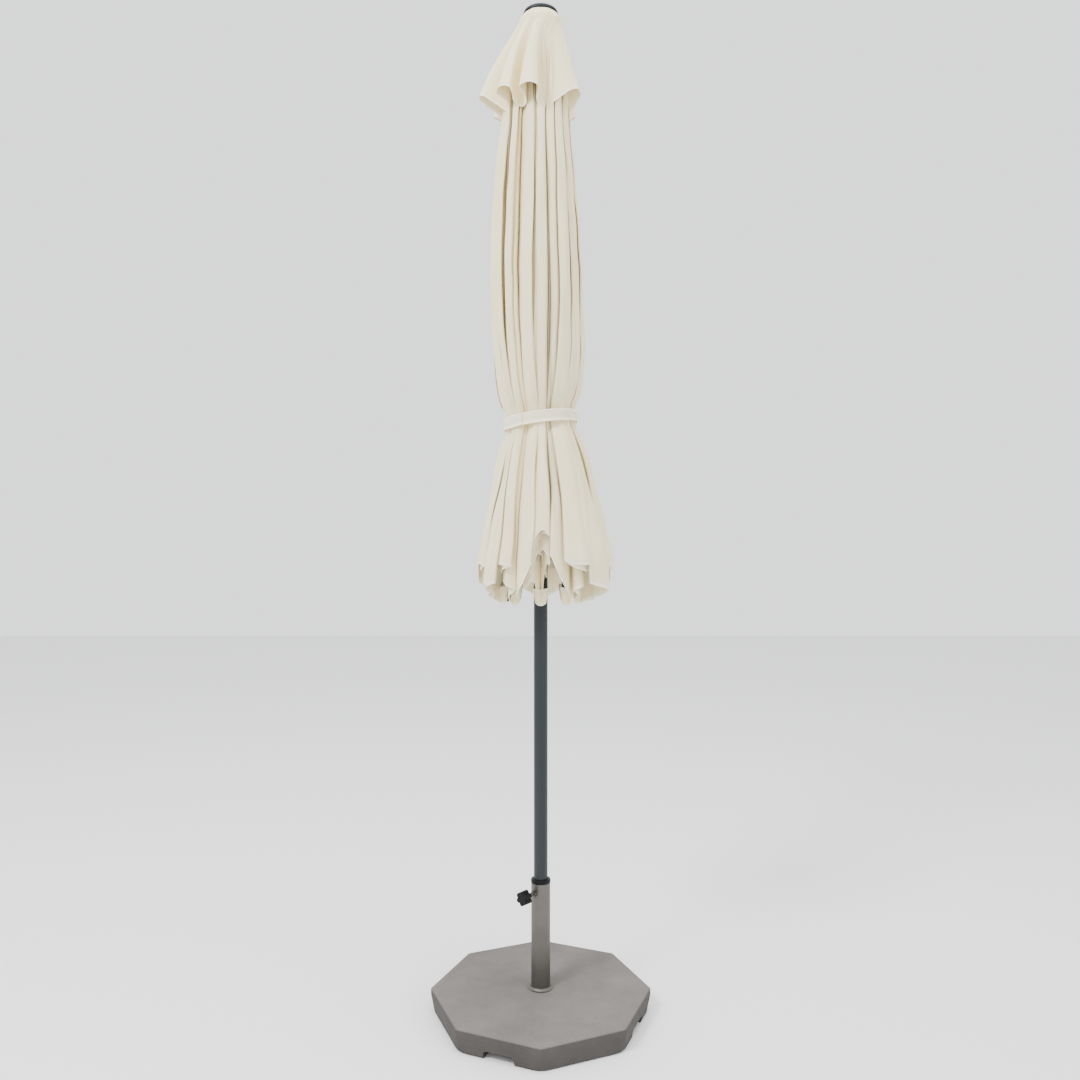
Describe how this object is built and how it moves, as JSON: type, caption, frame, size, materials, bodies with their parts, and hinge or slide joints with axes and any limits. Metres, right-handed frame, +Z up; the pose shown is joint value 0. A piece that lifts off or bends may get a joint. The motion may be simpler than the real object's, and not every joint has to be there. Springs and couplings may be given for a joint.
{
  "type": "patio umbrella",
  "caption": "Furled eight-rib patio umbrella with a vented canopy, tie strap and two-part pole, clamped in a steel tube on an octagonal concrete base.",
  "frame": {"origin": "centre of the base's underside, on the pole's axis", "axes": "+Z up along the pole; -Y towards the front, where one corner of the octagon and rib 1 point; +X to the right"},
  "size_m": [0.554, 0.554, 2.529],
  "materials": {
    "concrete": "matte",
    "zinc_steel": "satin",
    "brushed_steel": "satin",
    "black_plastic": "satin",
    "dark_metal": "satin",
    "pole_paint": "satin",
    "spigot_steel": "satin",
    "rib_paint": "satin",
    "finial_plastic": "satin",
    "canopy_fabric": "matte"
  },
  "bodies": {
    "base": {"base_slab": "concrete", "base_bolt": "zinc_steel", "base_washer": "zinc_steel", "tube_plug": "zinc_steel", "base_tube": "brushed_steel", "base_rosette": "brushed_steel", "tube_insert": "black_plastic", "clamp_nut": "dark_metal"},
    "clamp_stud": {"clamp_stud": "brushed_steel"},
    "clamp_knob": {"clamp_knob": "black_plastic"},
    "lower_pole": {"lower_pole": "pole_paint", "pole_foot_plug": "black_plastic", "pole_spigot": "spigot_steel", "spigot_rivets": "zinc_steel"},
    "upper_pole": {"upper_pole": "pole_paint", "top_hub": "black_plastic", "hub_pins": "zinc_steel", "finial_stud": "zinc_steel", "finial_cap": "finial_plastic", "canopy_crown": "canopy_fabric", "vent_cap": "canopy_fabric"},
    "lock_pin": {"lock_pin": "brushed_steel"},
    "runner": {"runner": "black_plastic"},
    "rib_1": {"rib_1": "rib_paint", "rib_tip_1": "black_plastic"},
    "strut_1": {"strut_1": "rib_paint"},
    "canopy_panel_1": {"canopy_panel_1": "canopy_fabric"},
    "rib_2": {"rib_2": "rib_paint", "rib_tip_2": "black_plastic"},
    "strut_2": {"strut_2": "rib_paint"},
    "canopy_panel_2": {"canopy_panel_2": "canopy_fabric"},
    "rib_3": {"rib_3": "rib_paint", "rib_tip_3": "black_plastic"},
    "strut_3": {"strut_3": "rib_paint"},
    "canopy_panel_3": {"canopy_panel_3": "canopy_fabric"},
    "rib_4": {"rib_4": "rib_paint", "rib_tip_4": "black_plastic"},
    "strut_4": {"strut_4": "rib_paint"},
    "canopy_panel_4": {"canopy_panel_4": "canopy_fabric"},
    "rib_5": {"rib_5": "rib_paint", "rib_tip_5": "black_plastic", "tie_strap": "canopy_fabric"},
    "strut_5": {"strut_5": "rib_paint"},
    "canopy_panel_5": {"canopy_panel_5": "canopy_fabric"},
    "rib_6": {"rib_6": "rib_paint", "rib_tip_6": "black_plastic"},
    "strut_6": {"strut_6": "rib_paint"},
    "canopy_panel_6": {"canopy_panel_6": "canopy_fabric"},
    "rib_7": {"rib_7": "rib_paint", "rib_tip_7": "black_plastic"},
    "strut_7": {"strut_7": "rib_paint"},
    "canopy_panel_7": {"canopy_panel_7": "canopy_fabric"},
    "rib_8": {"rib_8": "rib_paint", "rib_tip_8": "black_plastic"},
    "strut_8": {"strut_8": "rib_paint"},
    "canopy_panel_8": {"canopy_panel_8": "canopy_fabric"}
  },
  "joints": [
    {"name": "stud_travel", "type": "slide", "parent": "base", "child": "clamp_stud", "axis": [-0.6691, -0.7431, 0], "range_m": [0, 0.00375]},
    {"name": "clamp_knob_turn", "type": "hinge", "parent": "clamp_stud", "child": "clamp_knob", "pos_m": [-0.04149, -0.04607, 0.3015], "axis": [-0.6691, -0.7431, 0], "range_deg": [0, 1080.5]},
    {"name": "pole_lift", "type": "slide", "parent": "base", "child": "lower_pole", "axis": [0, 0, 1], "range_m": [0, 0.24]},
    {"name": "pole_turn", "type": "hinge", "parent": "lower_pole", "child": "upper_pole", "pos_m": [0, 0, 1.095], "axis": [0, 0, 1], "range_deg": [-180, 180]},
    {"name": "lock_pin_pull", "type": "slide", "parent": "upper_pole", "child": "lock_pin", "axis": [-0.3827, -0.9239, 0], "range_m": [0, 0.055]},
    {"name": "canopy_open", "type": "slide", "parent": "upper_pole", "child": "runner", "axis": [0, 0, 1], "range_m": [0, 0.86756], "deforming": ["vent_cap"]},
    {"name": "rib_1_swing", "type": "hinge", "parent": "upper_pole", "child": "rib_1", "pos_m": [0, -0.038, 2.47], "axis": [-1, 0, 0], "range_deg": [0, 74.01]},
    {"name": "strut_1_fold", "type": "hinge", "parent": "rib_1", "child": "strut_1", "pos_m": [0, -0.0446, 1.87987], "axis": [-1, 0, 0], "range_deg": [-145.78, 0]},
    {"name": "canopy_panel_1_unfold", "type": "hinge", "parent": "rib_1", "child": "canopy_panel_1", "pos_m": [0.01574, -0.038, 2.47], "axis": [0.3141, -0.7582, -0.5714], "range_deg": [0, 53.27]},
    {"name": "rib_2_swing", "type": "hinge", "parent": "upper_pole", "child": "rib_2", "pos_m": [0.02687, -0.02687, 2.47], "axis": [-0.7071, -0.7071, 0], "range_deg": [0, 74.01]},
    {"name": "strut_2_fold", "type": "hinge", "parent": "rib_2", "child": "strut_2", "pos_m": [0.03154, -0.03154, 1.87987], "axis": [-0.7071, -0.7071, 0], "range_deg": [-145.78, 0]},
    {"name": "canopy_panel_2_unfold", "type": "hinge", "parent": "rib_2", "child": "canopy_panel_2", "pos_m": [0.038, -0.01574, 2.47], "axis": [0.7582, -0.3141, -0.5714], "range_deg": [0, 53.27]},
    {"name": "rib_3_swing", "type": "hinge", "parent": "upper_pole", "child": "rib_3", "pos_m": [0.038, 0, 2.47], "axis": [0, -1, 0], "range_deg": [0, 74.01]},
    {"name": "strut_3_fold", "type": "hinge", "parent": "rib_3", "child": "strut_3", "pos_m": [0.0446, 0, 1.87987], "axis": [0, -1, 0], "range_deg": [-145.78, 0]},
    {"name": "canopy_panel_3_unfold", "type": "hinge", "parent": "rib_3", "child": "canopy_panel_3", "pos_m": [0.038, 0.01574, 2.47], "axis": [0.7582, 0.3141, -0.5714], "range_deg": [0, 53.27]},
    {"name": "rib_4_swing", "type": "hinge", "parent": "upper_pole", "child": "rib_4", "pos_m": [0.02687, 0.02687, 2.47], "axis": [0.7071, -0.7071, 0], "range_deg": [0, 74.01]},
    {"name": "strut_4_fold", "type": "hinge", "parent": "rib_4", "child": "strut_4", "pos_m": [0.03154, 0.03154, 1.87987], "axis": [0.7071, -0.7071, 0], "range_deg": [-145.78, 0]},
    {"name": "canopy_panel_4_unfold", "type": "hinge", "parent": "rib_4", "child": "canopy_panel_4", "pos_m": [0.01574, 0.038, 2.47], "axis": [0.3141, 0.7582, -0.5714], "range_deg": [0, 53.27]},
    {"name": "rib_5_swing", "type": "hinge", "parent": "upper_pole", "child": "rib_5", "pos_m": [0, 0.038, 2.47], "axis": [1, 0, 0], "range_deg": [0, 74.01]},
    {"name": "strut_5_fold", "type": "hinge", "parent": "rib_5", "child": "strut_5", "pos_m": [0, 0.0446, 1.87987], "axis": [1, 0, 0], "range_deg": [-145.78, 0]},
    {"name": "canopy_panel_5_unfold", "type": "hinge", "parent": "rib_5", "child": "canopy_panel_5", "pos_m": [-0.01574, 0.038, 2.47], "axis": [-0.3141, 0.7582, -0.5714], "range_deg": [0, 53.27], "deforming": ["tie_strap"]},
    {"name": "rib_6_swing", "type": "hinge", "parent": "upper_pole", "child": "rib_6", "pos_m": [-0.02687, 0.02687, 2.47], "axis": [0.7071, 0.7071, 0], "range_deg": [0, 74.01]},
    {"name": "strut_6_fold", "type": "hinge", "parent": "rib_6", "child": "strut_6", "pos_m": [-0.03154, 0.03154, 1.87987], "axis": [0.7071, 0.7071, 0], "range_deg": [-145.78, 0]},
    {"name": "canopy_panel_6_unfold", "type": "hinge", "parent": "rib_6", "child": "canopy_panel_6", "pos_m": [-0.038, 0.01574, 2.47], "axis": [-0.7582, 0.3141, -0.5714], "range_deg": [0, 53.27]},
    {"name": "rib_7_swing", "type": "hinge", "parent": "upper_pole", "child": "rib_7", "pos_m": [-0.038, 0, 2.47], "axis": [0, 1, 0], "range_deg": [0, 74.01]},
    {"name": "strut_7_fold", "type": "hinge", "parent": "rib_7", "child": "strut_7", "pos_m": [-0.0446, 0, 1.87987], "axis": [0, 1, 0], "range_deg": [-145.78, 0]},
    {"name": "canopy_panel_7_unfold", "type": "hinge", "parent": "rib_7", "child": "canopy_panel_7", "pos_m": [-0.038, -0.01574, 2.47], "axis": [-0.7582, -0.3141, -0.5714], "range_deg": [0, 53.27]},
    {"name": "rib_8_swing", "type": "hinge", "parent": "upper_pole", "child": "rib_8", "pos_m": [-0.02687, -0.02687, 2.47], "axis": [-0.7071, 0.7071, 0], "range_deg": [0, 74.01]},
    {"name": "strut_8_fold", "type": "hinge", "parent": "rib_8", "child": "strut_8", "pos_m": [-0.03154, -0.03154, 1.87987], "axis": [-0.7071, 0.7071, 0], "range_deg": [-145.78, 0]},
    {"name": "canopy_panel_8_unfold", "type": "hinge", "parent": "rib_8", "child": "canopy_panel_8", "pos_m": [-0.01574, -0.038, 2.47], "axis": [-0.3141, -0.7582, -0.5714], "range_deg": [0, 53.27]}
  ],
  "couplings": [
    {"joint": "clamp_knob_turn", "follows": "stud_travel", "rad_per_m": 5026.5},
    {"joint": "rib_1_swing", "follows": "canopy_open", "rad_per_m": 1.4887},
    {"joint": "strut_1_fold", "follows": "canopy_open", "rad_per_m": -2.9323},
    {"joint": "canopy_panel_1_unfold", "follows": "canopy_open", "rad_per_m": 1.0715},
    {"joint": "rib_2_swing", "follows": "canopy_open", "rad_per_m": 1.4887},
    {"joint": "strut_2_fold", "follows": "canopy_open", "rad_per_m": -2.9323},
    {"joint": "canopy_panel_2_unfold", "follows": "canopy_open", "rad_per_m": 1.0715},
    {"joint": "rib_3_swing", "follows": "canopy_open", "rad_per_m": 1.4887},
    {"joint": "strut_3_fold", "follows": "canopy_open", "rad_per_m": -2.9323},
    {"joint": "canopy_panel_3_unfold", "follows": "canopy_open", "rad_per_m": 1.0715},
    {"joint": "rib_4_swing", "follows": "canopy_open", "rad_per_m": 1.4887},
    {"joint": "strut_4_fold", "follows": "canopy_open", "rad_per_m": -2.9323},
    {"joint": "canopy_panel_4_unfold", "follows": "canopy_open", "rad_per_m": 1.0715},
    {"joint": "rib_5_swing", "follows": "canopy_open", "rad_per_m": 1.4887},
    {"joint": "strut_5_fold", "follows": "canopy_open", "rad_per_m": -2.9323},
    {"joint": "canopy_panel_5_unfold", "follows": "canopy_open", "rad_per_m": 1.0715},
    {"joint": "rib_6_swing", "follows": "canopy_open", "rad_per_m": 1.4887},
    {"joint": "strut_6_fold", "follows": "canopy_open", "rad_per_m": -2.9323},
    {"joint": "canopy_panel_6_unfold", "follows": "canopy_open", "rad_per_m": 1.0715},
    {"joint": "rib_7_swing", "follows": "canopy_open", "rad_per_m": 1.4887},
    {"joint": "strut_7_fold", "follows": "canopy_open", "rad_per_m": -2.9323},
    {"joint": "canopy_panel_7_unfold", "follows": "canopy_open", "rad_per_m": 1.0715},
    {"joint": "rib_8_swing", "follows": "canopy_open", "rad_per_m": 1.4887},
    {"joint": "strut_8_fold", "follows": "canopy_open", "rad_per_m": -2.9323},
    {"joint": "canopy_panel_8_unfold", "follows": "canopy_open", "rad_per_m": 1.0715}
  ]
}
